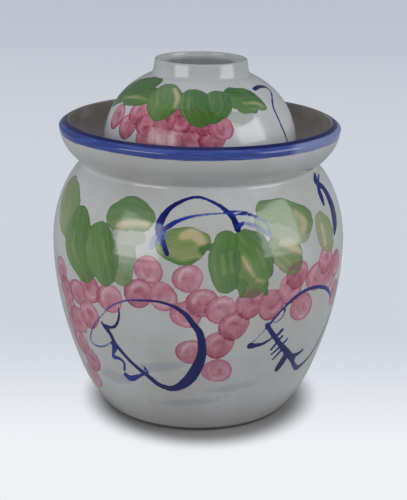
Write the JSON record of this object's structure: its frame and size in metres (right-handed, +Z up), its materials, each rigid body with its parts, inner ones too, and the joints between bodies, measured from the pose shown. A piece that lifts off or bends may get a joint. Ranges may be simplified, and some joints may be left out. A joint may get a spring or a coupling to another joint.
{
  "type": "water seal pickle jar",
  "caption": "Stoneware fermenting jar with a moat round its mouth and a footed bowl lid that stands in the moat to make a water seal.",
  "frame": {"origin": "centre of the face that the foot ring rests on", "axes": "+Z up, along the axis on which the jar was thrown; +X to the right and -Y towards the viewer of the picture"},
  "size_m": [0.2196, 0.2194, 0.2635],
  "materials": {
    "painted_glaze": "glossy grey-white glaze with hand-painted leaves, grapes and cobalt strokes",
    "bare_clay": "unglazed fired stoneware, matt and slightly gritty",
    "moat_glaze": "glossy grey glaze, greyer inside the moat",
    "cobalt_band": "glossy glaze over a brushed cobalt band",
    "lid_glaze": "glossy grey-white glaze with hand-painted leaves and grapes"
  },
  "bodies": {
    "jar": {"jar_body": "painted_glaze", "foot_ring": "bare_clay", "moat_wall": "moat_glaze", "moat_rim": "cobalt_band", "mouth_collar": "moat_glaze"},
    "lid": {"lid_bowl": "lid_glaze", "lid_grip_ring": "lid_glaze"}
  },
  "joints": [
    {"name": "lid_lift", "type": "slide", "parent": "jar", "child": "lid", "axis": [0, 0, 1], "range_m": [0, 0.12]}
  ]
}
